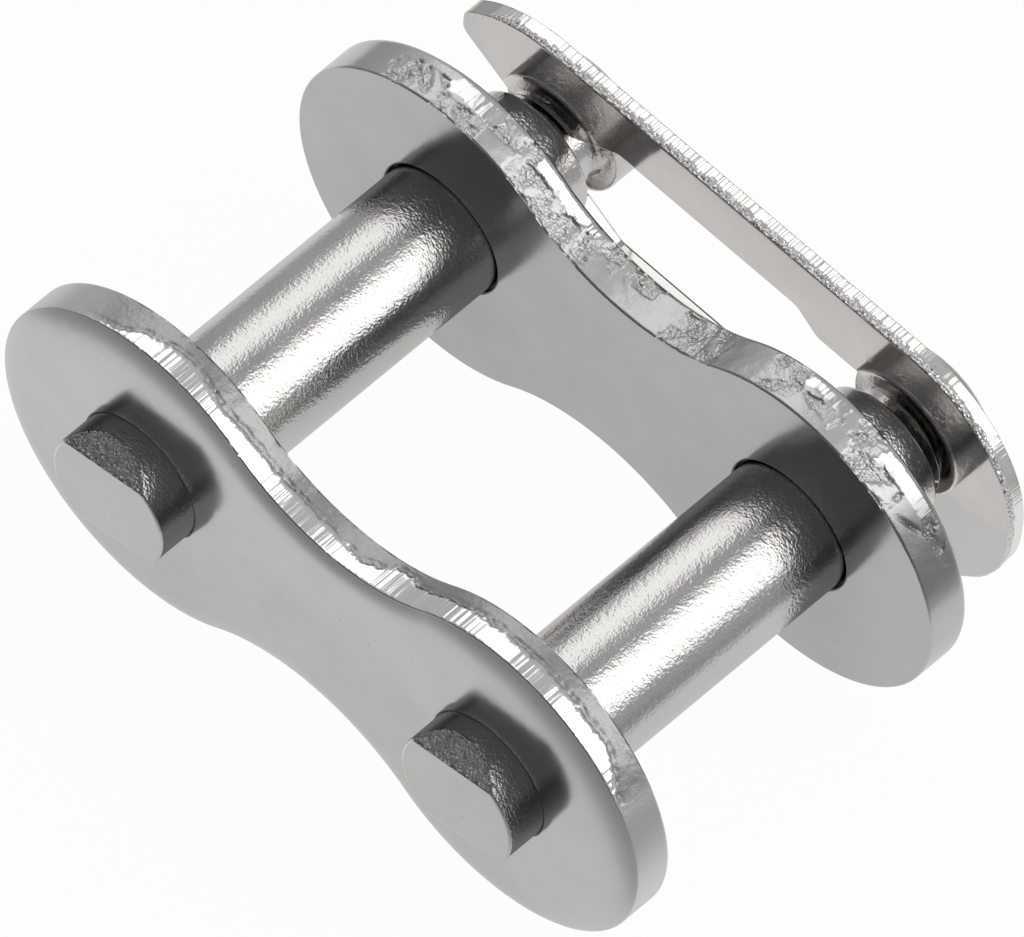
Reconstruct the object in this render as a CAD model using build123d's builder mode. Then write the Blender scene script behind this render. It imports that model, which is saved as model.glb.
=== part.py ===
from math import acos, asin, atan2, cos, degrees, radians, sin, sqrt
import os

from build123d import *

# A connecting link for a roller chain of 12.7 mm pitch, held by a spring clip.
# Millimetres: +X from the left pin to the right one, +Y along the pins from the pin
# plate to the clip, +Z up. The origin lies under the middle of the pins' length, on
# the surface that the edges of the two plates stand on.

# --- Driving dimensions ---------------------------------------------------------------

pitch = 12.7  # from pin to pin

# Plates
plate_height = 10.34  # across a round end
waist_height = 6.4  # across the narrow middle
pin_plate_thickness = 1.4
pin_plate_roll = 0.24  # round edge that blanking leaves about the outer face
cover_thickness = 1.4
cover_break = 0.08  # broken edges of the cover plate
cover_gap = 9.74  # between the two plates, where the cover plate rests
hole_clearance = 0.06  # radial, between the cover plate and a pin

# Pins, along their length
pin_diameter = 3.98
pin_tail = 1.2  # stands out of the pin plate
pin_shank = 14.7  # from the pin plate's outer face to the groove
groove_width = 0.95
groove_diameter = 2.9
head_length = 1.25  # beyond the groove
shoulder_chamfer = 0.12  # both edges of the groove
head_chamfer = 0.3

# Pins, the flatted end that sits in the pin plate
flat_distance = 1.43  # from the pin's axis to the flat
flat_width = 2.46
flat_corner = 0.2  # width of the rounding at each side of the flat
flat_turn = 11.0  # degrees that the flat is turned about the pin
crop_line = 1.35  # from the pin's axis to where the cropped end breaks off
crop_depth = 0.6  # how far the break falls back at the pin's side

# Spring clip
clip_thickness = 0.6
clip_play = 0.05  # between the clip and the pins' heads
clip_height = 8.47
clip_break = 0.08  # broken edge about the outer face
slot_height = 4.68
slot_corner = 0.5  # rounding of the slot's bends
closed_eye_diameter = 3.46  # seat of the right pin
closed_ramp_start = 3.65  # from the right pin's axis to where the slot narrows
closed_ramp_end = 2.85
open_eye_diameter = 3.2  # seat of the left pin
open_ramp_start = 2.55  # from the left pin's axis to where the slot narrows
throat_gap = 2.66  # between slot and open eye
lip_gap = 2.1  # between open eye and mouth
tip_reach = 3.13  # from the left pin's axis to the ends of the legs
tip_height = 0.72  # of each leg's end
tip_corner = 0.42
lip_corner = 0.15

# --- Places that follow from them -------------------------------------------------------

left_x = -pitch / 2
right_x = pitch / 2
axis_height = plate_height / 2
pin_radius = pin_diameter / 2

pin_length = pin_tail + pin_shank + groove_width + head_length
pin_front = -pin_length / 2
pin_plate_front = pin_front + pin_tail
pin_plate_back = pin_plate_front + pin_plate_thickness
cover_back = pin_plate_back + cover_gap + cover_thickness
groove_front = pin_plate_front + pin_shank
groove_back = groove_front + groove_width
pin_back = groove_back + head_length
clip_back = groove_back - clip_play


def across(y):
    """Plane square to the pins, centred between their axes, that faces -Y."""
    return Plane(origin=(0, y, axis_height), x_dir=(1, 0, 0), z_dir=(0, -1, 0))


def on_circle(radius, angle, centre_x):
    """Point of a circle about (centre_x, 0), at an angle in degrees from +X."""
    return (centre_x + radius * cos(radians(angle)), radius * sin(radians(angle)))


# --- Plates: round ends joined by waist curves that run tangent into them ----------------

end_radius = plate_height / 2
half_waist = waist_height / 2
waist_radius = (right_x**2 + half_waist**2 - end_radius**2) / (2 * (end_radius - half_waist))
waist_angle = atan2(half_waist + waist_radius, right_x)
touch_x = right_x - end_radius * cos(waist_angle)
touch_z = end_radius * sin(waist_angle)

with BuildSketch() as plate_outline:
    with BuildLine():
        ThreePointArc((touch_x, -touch_z), (right_x + end_radius, 0), (touch_x, touch_z))
        ThreePointArc((touch_x, touch_z), (0, half_waist), (-touch_x, touch_z))
        ThreePointArc((-touch_x, touch_z), (left_x - end_radius, 0), (-touch_x, -touch_z))
        ThreePointArc((-touch_x, -touch_z), (0, -half_waist), (touch_x, -touch_z))
    make_face()

# Section of a pin's flatted end, and of the holes that it is pressed into
flat_edge = flat_width / 2
corner_x = flat_edge + flat_corner
corner_z = -sqrt(pin_radius**2 - corner_x**2)

with BuildSketch() as flatted_section:
    with BuildLine():
        ThreePointArc((corner_x, corner_z), (0, pin_radius), (-corner_x, corner_z))
        TangentArc((-flat_edge, -flat_distance), (-corner_x, corner_z), tangent=(-1, 0))
        Line((-flat_edge, -flat_distance), (flat_edge, -flat_distance))
        TangentArc((flat_edge, -flat_distance), (corner_x, corner_z), tangent=(1, 0))
    make_face()

with BuildPart() as pin_plate:
    with BuildSketch(across(pin_plate_back)):
        add(plate_outline.sketch)
    extrude(amount=pin_plate_thickness)
    fillet(pin_plate.faces().sort_by(Axis.Y)[0].edges(), pin_plate_roll)
    with BuildSketch(across(pin_plate_back)):
        with Locations((left_x, 0), (right_x, 0)):
            add(flatted_section.sketch, rotation=flat_turn)
    extrude(amount=pin_plate_thickness, mode=Mode.SUBTRACT)
pin_plate.part.label = "pin_plate"

with BuildPart() as cover_plate:
    with BuildSketch(across(cover_back)):
        add(plate_outline.sketch)
    extrude(amount=cover_thickness)
    chamfer(cover_plate.faces().filter_by(Axis.Y).edges(), cover_break)
    with BuildSketch(across(cover_back)):
        with Locations((left_x, 0), (right_x, 0)):
            Circle(pin_radius + hole_clearance)
    extrude(amount=cover_thickness, mode=Mode.SUBTRACT)
cover_plate.part.label = "cover_plate"

os.makedirs("parts", exist_ok=True)
export_step(pin_plate.part, "parts/pin_plate.step")
export_step(cover_plate.part, "parts/cover_plate.step")

# --- Pins: a flatted end pressed into the pin plate, a round shank, a groove and a head ----

groove_radius = groove_diameter / 2
crop_slope = crop_depth / (pin_radius - crop_line)
crop_rise = 2 * (pin_radius - crop_line)
away_from_flat = Vector(-sin(radians(flat_turn)), 0, cos(radians(flat_turn)))

for pin_name, pin_x in (("left_pin", left_x), ("right_pin", right_x)):
    lengthwise = Plane(origin=(pin_x, 0, axis_height), x_dir=(0, 1, 0), z_dir=(1, 0, 0))
    crop_side = Plane(
        origin=(pin_x, pin_front, axis_height),
        x_dir=(0, 1, 0),
        z_dir=Vector(0, 1, 0).cross(away_from_flat),
    )
    with BuildPart() as pin:
        with BuildSketch(across(pin_plate_back)):
            with Locations((pin_x, 0)):
                add(flatted_section.sketch, rotation=flat_turn)
        extrude(amount=pin_plate_thickness + pin_tail)
        # The bar was cropped to length: opposite the flat its end broke off at a slope
        with BuildSketch(crop_side):
            with BuildLine():
                Polyline(
                    (0, crop_line),
                    (crop_slope * crop_rise, crop_line + crop_rise),
                    (0, crop_line + crop_rise),
                    close=True,
                )
            make_face()
        extrude(amount=pin_diameter, both=True, mode=Mode.SUBTRACT)
        with BuildSketch(lengthwise):
            with BuildLine():
                Polyline(
                    (pin_plate_back, 0),
                    (pin_plate_back, pin_radius),
                    (groove_front - shoulder_chamfer, pin_radius),
                    (groove_front, pin_radius - shoulder_chamfer),
                    (groove_front, groove_radius),
                    (groove_back, groove_radius),
                    (groove_back, pin_radius - shoulder_chamfer),
                    (groove_back + shoulder_chamfer, pin_radius),
                    (pin_back - head_chamfer, pin_radius),
                    (pin_back, pin_radius - head_chamfer),
                    (pin_back, 0),
                    close=True,
                )
            make_face()
        revolve(axis=Axis((pin_x, 0, axis_height), (0, 1, 0)))
    pin.part.label = pin_name
    export_step(pin.part, f"parts/{pin_name}.step")

# --- Spring clip: two legs that join round the right pin and snap about the left one -----

clip_radius = clip_height / 2
half_slot = slot_height / 2
closed_eye_radius = closed_eye_diameter / 2
open_eye_radius = open_eye_diameter / 2
tip_angle = degrees(acos(-tip_reach / clip_radius))
tip_top = on_circle(clip_radius, tip_angle, left_x)
lip_angle = 180 - degrees(asin(lip_gap / 2 / open_eye_radius))
throat_angle = degrees(asin(throat_gap / 2 / open_eye_radius))
lip = on_circle(open_eye_radius, lip_angle, left_x)
throat = on_circle(open_eye_radius, throat_angle, left_x)
slot_left = (left_x + open_ramp_start, half_slot)
slot_right = (right_x - closed_ramp_start, half_slot)
eye_entry = (right_x - closed_ramp_end, closed_eye_radius)


def corners(sketch, *points):
    """Corners of a sketch at the given points and at their mirror images below."""
    nearest = []
    for x, y in points:
        for side in (1, -1):
            nearest.append(sketch.vertices().sort_by_distance((x, side * y, 0))[0])
    return nearest


with BuildPart() as spring_clip:
    with BuildSketch(across(clip_back)) as clip_outline:
        with BuildLine():
            ThreePointArc(
                on_circle(clip_radius, 0, right_x),
                on_circle(clip_radius, 45, right_x),
                on_circle(clip_radius, 90, right_x),
            )
            Line((right_x, clip_radius), (left_x, clip_radius))
            ThreePointArc(
                on_circle(clip_radius, 90, left_x),
                on_circle(clip_radius, (90 + tip_angle) / 2, left_x),
                tip_top,
            )
            Polyline(
                tip_top,
                (tip_top[0], tip_top[1] - tip_height),
                lip,
            )
            ThreePointArc(lip, on_circle(open_eye_radius, 90, left_x), throat)
            Polyline(throat, slot_left, slot_right, eye_entry, (right_x, closed_eye_radius))
            ThreePointArc(
                on_circle(closed_eye_radius, 90, right_x),
                on_circle(closed_eye_radius, 45, right_x),
                on_circle(closed_eye_radius, 0, right_x),
            )
            Line(on_circle(closed_eye_radius, 0, right_x), on_circle(clip_radius, 0, right_x))
        make_face()
        mirror(about=Plane.XZ)
        fillet(corners(clip_outline, lip), lip_corner)
        fillet(corners(clip_outline, slot_left, slot_right, eye_entry), slot_corner)
        fillet(clip_outline.vertices().group_by(Axis.X)[0], tip_corner)
    extrude(amount=clip_thickness)
    chamfer(spring_clip.faces().sort_by(Axis.Y)[-1].edges(), clip_break)
spring_clip.part.label = "spring_clip"
export_step(spring_clip.part, "parts/spring_clip.step")
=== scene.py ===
import math

import bmesh
import bpy
from bpy.props import FloatProperty, FloatVectorProperty, PointerProperty
from mathutils import Matrix, Vector, noise


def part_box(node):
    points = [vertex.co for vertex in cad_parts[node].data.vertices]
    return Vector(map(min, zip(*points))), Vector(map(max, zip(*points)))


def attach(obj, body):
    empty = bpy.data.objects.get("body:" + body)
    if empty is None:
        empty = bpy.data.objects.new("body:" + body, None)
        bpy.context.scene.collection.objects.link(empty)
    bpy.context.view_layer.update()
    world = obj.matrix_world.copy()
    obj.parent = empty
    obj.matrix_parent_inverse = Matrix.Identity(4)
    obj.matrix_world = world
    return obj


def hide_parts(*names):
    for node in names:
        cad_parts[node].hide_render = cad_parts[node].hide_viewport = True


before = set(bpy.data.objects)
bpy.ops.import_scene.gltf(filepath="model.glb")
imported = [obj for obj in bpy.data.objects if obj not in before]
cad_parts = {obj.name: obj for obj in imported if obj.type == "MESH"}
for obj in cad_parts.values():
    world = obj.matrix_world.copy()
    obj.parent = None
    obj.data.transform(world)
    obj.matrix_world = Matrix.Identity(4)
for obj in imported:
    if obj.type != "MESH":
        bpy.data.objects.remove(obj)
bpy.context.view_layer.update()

bl_info = {
    "name": "Roller chain connecting link",
    "version": (1, 0, 0),
    "blender": (4, 5, 0),
    "location": "3D View > Sidebar > Chain link",
    "description": "Dresses a roller chain's connecting link and its spring clip",
    "category": "Object",
}

MM = 0.001  # pieces are modelled in millimetres about the plane of the pins, then set in place


def node_box(name):
    """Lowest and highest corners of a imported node, in millimetres."""
    low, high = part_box(name)
    return low / MM, high / MM


def linear(hex_colour):
    """Linear red, green and blue of an sRGB hex colour."""
    channels = []
    for start in (0, 2, 4):
        value = int(hex_colour[start : start + 2], 16) / 255
        channels.append(value / 12.92 if value <= 0.04045 else ((value + 0.055) / 1.055) ** 2.4)
    return tuple(channels)


# --- Places that follow from the frame ------------------------------------------------------

PIN_PLATE_LOW, PIN_PLATE_HIGH = node_box("pin_plate")
COVER_LOW, COVER_HIGH = node_box("cover_plate")
CLIP_LOW, CLIP_HIGH = node_box("spring_clip")
LEFT_PIN_LOW, LEFT_PIN_HIGH = node_box("left_pin")
RIGHT_PIN_LOW, RIGHT_PIN_HIGH = node_box("right_pin")

END_RADIUS = (PIN_PLATE_HIGH.z - PIN_PLATE_LOW.z) / 2
AXIS_HEIGHT = (PIN_PLATE_HIGH.z + PIN_PLATE_LOW.z) / 2
PIN_RADIUS = (RIGHT_PIN_HIGH.x - RIGHT_PIN_LOW.x) / 2
LEFT_X = (LEFT_PIN_LOW.x + LEFT_PIN_HIGH.x) / 2
RIGHT_X = (RIGHT_PIN_LOW.x + RIGHT_PIN_HIGH.x) / 2
PIN_FRONT = LEFT_PIN_LOW.y
PIN_BACK = LEFT_PIN_HIGH.y


# --- What a user would change ---------------------------------------------------------------


def size(name, description, default):
    """A length in millimetres."""
    return FloatProperty(name=name, description=description + ", in millimetres", default=default)


def colour(name, description, hex_colour):
    """A colour that is written as sRGB hex."""
    return FloatVectorProperty(
        name=name, description=description, default=linear(hex_colour), subtype="COLOR", min=0, max=1
    )


class StudioSettings(bpy.types.PropertyGroup):
    """Where the viewer stands and what lights the link."""

    azimuth: FloatProperty(
        name="Azimuth",
        description="How far round from the front the viewer stands",
        default=math.radians(39.428),
        subtype="ANGLE",
        unit="ROTATION",
    )
    elevation: FloatProperty(
        name="Elevation",
        description="How steeply the viewer looks down",
        default=math.radians(56.723),
        subtype="ANGLE",
        unit="ROTATION",
    )
    roll: FloatProperty(
        name="Roll",
        description="How far the view is turned about its own axis",
        default=math.radians(5.975),
        subtype="ANGLE",
        unit="ROTATION",
    )
    distance: FloatProperty(
        name="Distance",
        description="From the viewer to the point looked at",
        default=1.09,
        subtype="DISTANCE",
        unit="LENGTH",
    )
    aim: FloatVectorProperty(
        name="Aim",
        description="Point in the middle of the view",
        default=(0.5716 * MM, -1.1462 * MM, 6.1506 * MM),
        subtype="TRANSLATION",
        unit="LENGTH",
    )
    lens: FloatProperty(
        name="Lens",
        description="Focal length in millimetres on a 36 mm wide sensor",
        default=1475.27,
    )
    light_distance: FloatProperty(
        name="Light distance",
        description="From the link to the two softboxes",
        default=0.6,
        subtype="DISTANCE",
        unit="LENGTH",
    )
    key_radiance: FloatProperty(
        name="Key radiance", description="Brightness of the right softbox's cloth", default=1.5
    )
    fill_radiance: FloatProperty(
        name="Fill radiance", description="Brightness of the left softbox's cloth", default=0.93
    )
    back_wall: FloatProperty(
        name="Back wall", description="Brightness of the studio behind the link", default=0.42
    )
    front_wall: FloatProperty(
        name="Front wall", description="Brightness of the studio on the viewer's side", default=0.1
    )
    table_reach: FloatProperty(
        name="Table reach",
        description="How far the light from below reaches",
        default=0.15,
        subtype="DISTANCE",
        unit="LENGTH",
    )
    table_centre: FloatVectorProperty(
        name="Table centre",
        description="Middle of the table's lit pool",
        default=(-5 * MM, 10 * MM, 0),
        subtype="TRANSLATION",
        unit="LENGTH",
    )
    table_near: FloatProperty(
        name="Table near", description="Brightness of the table in metal, just off the pool", default=0.56
    )
    table_far: FloatProperty(
        name="Table far", description="Brightness of the table in metal, further off", default=0.2
    )
    table_back: FloatProperty(
        name="Table back", description="Brightness of the table in metal, behind the link", default=0.42
    )
    glow_to_viewer: FloatProperty(
        name="Glow to the viewer",
        description="Share of the table's white that comes from below, as the viewer sees it",
        default=0.97,
        subtype="FACTOR",
    )
    glow_to_metal: FloatProperty(
        name="Glow to metal",
        description="Share of the table's white that comes from below, as metal shows it",
        default=0.6,
        subtype="FACTOR",
    )
    glow_between: FloatProperty(
        name="Glow between plates", description="Table's glow seen by way of two surfaces", default=0.26
    )
    glow_behind: FloatProperty(
        name="Glow behind plates", description="The same behind the cover plate", default=1.25
    )
    floor_colour: colour("Floor", "White acrylic of the table", "F5F5F5")


class PlateSettings(bpy.types.PropertyGroup):
    """Sizes of the two plates that their blanked edges and faces need."""

    waist: size("Waist", "Height of a plate's narrow middle", 6.4)
    edge_step: size("Edge step", "Length of the facets along an edge", 0.045)
    crown_width: size("Crown width", "How far the pin plate's outer face rounds off inwards", 2.8)
    crown_depth: size("Crown depth", "How far that rounding falls back", 0.21)
    corner: size("Corner", "Rounding of the plain rims", 0.07)
    rim: size("Rim", "Rounding of the pin plate's outer rim", 0.05)
    seat_rim: size("Seat rim", "Rounding of the pin plate round the pins", 0.07)
    roll: size("Roll", "Rounding of the cover plate's outer rim", 0.22)
    lip: size("Lip", "Rounding of the cover plate's holes", 0.12)
    clearance: size("Clearance", "Between the cover plate and a pin", 0.06)


class PinSettings(bpy.types.PropertyGroup):
    """Sizes of the two pins."""

    step: size("Step", "Length of the facets on the flatted end", 0.045)
    flat_distance: size("Flat distance", "From a pin's axis to its flat", 1.43)
    flat_width: size("Flat width", "Width of the flat", 2.46)
    flat_corner: size("Flat corner", "Width of the rounding at each side of the flat", 0.2)
    flat_turn: FloatProperty(
        name="Flat turn",
        description="How far the flat is turned about the pin",
        default=math.radians(11),
        subtype="ANGLE",
        unit="ROTATION",
    )
    rim: size("Rim", "Rounding of the flatted end's rim", 0.05)
    rim_width: size("Rim width", "Width of the chamfer inside that rounding", 0.03)
    rim_fall: size("Rim fall", "How far the chamfer falls back", 0.011)
    crop_line: size("Crop line", "From a pin's axis to where the cropped end breaks off", 1.35)
    crop_depth: size("Crop depth", "How far the break falls back at the pin's side", 0.6)
    shank: size("Shank", "From the pin plate's outer face to the groove", 14.7)
    groove_width: size("Groove width", "Width of the clip's groove", 0.95)
    groove_diameter: size("Groove diameter", "Diameter at the bottom of the groove", 2.9)
    shoulder: size("Shoulder", "Rounding of the groove's two edges", 0.12)
    head_corner: size("Head corner", "Rounding of a pin's head", 0.3)


class ClipSettings(bpy.types.PropertyGroup):
    """Sizes of the spring clip."""

    step: size("Step", "Length of the facets along the clip's edge", 0.06)
    slot_half: size("Slot", "From the slot's middle to a leg", 2.34)
    slot_corner: size("Slot corner", "Rounding of the slot's bends", 0.5)
    closed_eye: size("Closed eye", "Radius of the right pin's seat", 1.73)
    closed_ramp_start: size("Closed ramp start", "From the right pin to where the slot narrows", 3.65)
    closed_ramp_end: size("Closed ramp end", "From the right pin to where it is narrow", 2.85)
    open_eye: size("Open eye", "Radius of the left pin's seat", 1.6)
    open_ramp_start: size("Open ramp start", "From the left pin to where the slot narrows", 2.55)
    throat_half: size("Throat", "Half of the gap between slot and open eye", 1.33)
    lip_half: size("Lip gap", "Half of the gap between open eye and mouth", 1.05)
    lip_corner: size("Lip corner", "Rounding of the lips", 0.15)
    tip_reach: size("Tip reach", "From the left pin to the ends of the legs", 3.13)
    tip_height: size("Tip height", "Height of a leg's end", 0.72)
    tip_corner: size("Tip corner", "Rounding of a leg's end", 0.42)
    end_bulge: size("End bulge", "How far the centres of the round end's arcs lie off the pin", 0.258)
    near_edge: size("Near edge", "Rounding of the rim that faces the cover plate", 0.03)
    far_edge: size("Far edge", "Rounding of the outer rim", 0.08)


class FinishSettings(bpy.types.PropertyGroup):
    """Colours of the steels."""

    # Both plates are one rolled strip: the pin plate's colour is painted lighter, as painted light, and the cover
    # plate's darker, as painted shade between the plates
    plate_steel: colour("Plate steel", "Rolled strip of the plates", "DAD9D9")
    shaded_cover_steel: colour("Cover steel", "Rolled strip of the cover plate", "CAC9C8")
    pin_steel: colour("Pin steel", "Tumbled bar of the pins", "D8D6D3")
    clip_steel: colour("Clip steel", "Spring strip of the clip", "DCDAD7")


# --- Modelling helpers ----------------------------------------------------------------------


def start_chain(name, place):
    """Starts a piece as one vertex, in edit mode and selected."""
    bpy.ops.object.select_all(action="DESELECT")
    bpy.ops.mesh.primitive_plane_add(size=1)
    piece = bpy.context.object
    piece.name = name
    bpy.ops.object.mode_set(mode="EDIT")
    bpy.ops.mesh.select_mode(type="VERT")
    bpy.ops.mesh.merge(type="CENTER")
    bpy.ops.transform.translate(value=place)
    return piece


def draw_chain(name, points):
    """Starts a piece as a chain of edges through the points, all selected."""
    piece = start_chain(name, points[0])
    for here, there in zip(points, points[1:]):
        step = Vector(there) - Vector(here)
        bpy.ops.mesh.extrude_region_move(TRANSFORM_OT_translate={"value": step})
    bpy.ops.mesh.select_all(action="SELECT")
    return piece


def spin_chain(centre_x, centre_z, angle, steps):
    """Spins the selected chain about a line along the pins, clockwise seen from the front."""
    bpy.ops.mesh.spin(steps=steps, angle=angle, center=(centre_x, 0, centre_z), axis=(0, -1, 0))


class Pen:
    """Draws an outline about the pins' plane, one edge after another, with a piece's last vertex."""

    def __init__(self, name, level, start, step):
        self.piece = start_chain(name, (start[0], level, start[1]))
        self.place = Vector(start)
        self.step = step

    def line_to(self, end):
        reach = Vector(end) - self.place
        count = max(1, math.ceil(reach.length / self.step))
        move = {"value": (reach.x / count, 0, reach.y / count)}
        for _ in range(count):
            bpy.ops.mesh.extrude_region_move(TRANSFORM_OT_translate=move)
        self.place = Vector(end)

    def arc(self, centre, clockwise):
        """Turns clockwise about a centre by an angle, or back for a negative one."""
        spoke = self.place - Vector(centre)
        count = max(1, math.ceil(abs(clockwise) * spoke.length / self.step))
        spin_chain(centre[0], centre[1], clockwise, count)
        self.place = Vector(centre) + Matrix.Rotation(-clockwise, 2) @ spoke

    def round_corner(self, corner, beyond, radius):
        """Goes on to a corner, rounds it, and stands ready for the line to the point beyond it."""
        before = (Vector(corner) - self.place).normalized()
        after = (Vector(beyond) - Vector(corner)).normalized()
        turn = math.atan2(after.x * before.y - after.y * before.x, before.dot(after))
        start = Vector(corner) - before * radius * math.tan(abs(turn) / 2)
        side = math.copysign(1, turn)
        self.line_to(start)
        self.arc(start + Vector((before.y, -before.x)) * side * radius, turn)


def merge_doubles(limit=0.004):
    bpy.ops.mesh.select_all(action="SELECT")
    bpy.ops.mesh.remove_doubles(threshold=limit)


def select_edges(piece, test):
    """Selects, in edit mode, only the edges that pass a test."""
    bpy.ops.mesh.select_mode(type="EDGE")
    bpy.ops.mesh.select_all(action="DESELECT")
    mesh = bmesh.from_edit_mesh(piece.data)
    for edge in mesh.edges:
        if test(edge):
            edge.select = True
    bmesh.update_edit_mesh(piece.data)


def select_faces(piece, test):
    """Selects, in edit mode, only the faces that pass a test."""
    bpy.ops.mesh.select_mode(type="FACE")
    bpy.ops.mesh.select_all(action="DESELECT")
    mesh = bmesh.from_edit_mesh(piece.data)
    for face in mesh.faces:
        if test(face):
            face.select = True
    bmesh.update_edit_mesh(piece.data)


def apply_modifier(piece, kind, **settings):
    """Adds a modifier with its settings and applies it."""
    bpy.context.view_layer.objects.active = piece
    modifier = piece.modifiers.new(kind.lower(), kind)
    for name, value in settings.items():
        setattr(modifier, name, value)
    bpy.ops.object.modifier_apply(modifier=modifier.name)


def join_pieces(piece, others):
    """Joins other pieces into one."""
    bpy.ops.object.select_all(action="DESELECT")
    for part in (piece, *others):
        part.select_set(True)
    bpy.context.view_layer.objects.active = piece
    bpy.ops.object.join()
    return piece


def weigh(piece, **rules):
    """Gives each vertex weights in named groups, from rules on its place, and keeps them as attributes."""
    bpy.ops.object.mode_set(mode="OBJECT")
    for name, rule in rules.items():
        group = piece.vertex_groups.new(name=name)
        weights = [min(max(rule(vertex.co), 0.0), 1.0) for vertex in piece.data.vertices]
        for index, weight in enumerate(weights):
            if weight > 0:
                group.add([index], weight, "REPLACE")
        attribute = piece.data.attributes.new(name + "_share", "FLOAT", "POINT")
        attribute.data.foreach_set("value", weights)


def roughen(piece, group, grain, height, stretch=1.0, middle=0.5, **settings):
    """Pushes the vertices of a group in and out by a cloudy pattern, all in millimetres."""
    texture = bpy.data.textures.new("relief", "CLOUDS")
    texture.noise_scale = 1.0
    for name, value in settings.items():
        setattr(texture, name, value)
    rule = bpy.data.objects.new("relief_scale", None)
    bpy.context.scene.collection.objects.link(rule)
    rule.scale = (grain, grain * stretch, grain)
    bpy.context.view_layer.update()
    apply_modifier(
        piece,
        "DISPLACE",
        texture=texture,
        texture_coords="OBJECT",
        texture_coords_object=rule,
        vertex_group=group,
        strength=height,
        mid_level=middle,
    )
    bpy.data.objects.remove(rule)
    bpy.data.textures.remove(texture)


def set_in(piece, group, depth):
    """Sets the vertices of a group back by a depth in millimetres."""
    apply_modifier(piece, "DISPLACE", vertex_group=group, strength=-depth, mid_level=0.0)


def set_in_place(piece):
    """Brings a finished piece from millimetres about the pins' plane to its place in metres."""
    bpy.ops.object.select_all(action="DESELECT")
    piece.select_set(True)
    bpy.context.view_layer.objects.active = piece
    piece.scale = (MM, MM, MM)
    piece.location = (0, 0, AXIS_HEIGHT * MM)
    bpy.ops.object.transform_apply(location=True, rotation=True, scale=True)
    piece.vertex_groups.clear()


def ripple(length, grain, seed, depth=0.0):
    """Smooth noise, about -0.5 to 0.5, along an edge and down it."""
    return noise.noise(Vector((length / grain, seed + depth / grain, 0.0)))


def smoothstep(low, high, value):
    share = min(max((value - low) / (high - low), 0.0), 1.0)
    return share * share * (3 - 2 * share)


def between(pairs, length):
    """Value at a length along an edge, from pairs of length and value in rising order."""
    if length <= pairs[0][0]:
        return pairs[0][1]
    for (start, first), (end, last) in zip(pairs, pairs[1:]):
        if length <= end:
            return first + (last - first) * smoothstep(start, end, length)
    return pairs[-1][1]


# --- Finishes -------------------------------------------------------------------------------


def add_node(tree, kind, settings=None, links=None):
    """Adds a shader node, gives it its settings and input values, and links its inputs."""
    node = tree.nodes.new("ShaderNode" + kind)
    for name, value in (settings or {}).items():
        if isinstance(name, int) or name in node.inputs:
            node.inputs[name].default_value = value
        else:
            setattr(node, name, value)
    for name, socket in (links or {}).items():
        tree.links.new(socket, node.inputs[name])
    return node


def new_material(name):
    """A material with an empty node tree, and that tree."""
    material = bpy.data.materials.new(name)
    material.use_nodes = True
    material.node_tree.nodes.clear()
    return material, material.node_tree


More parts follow.
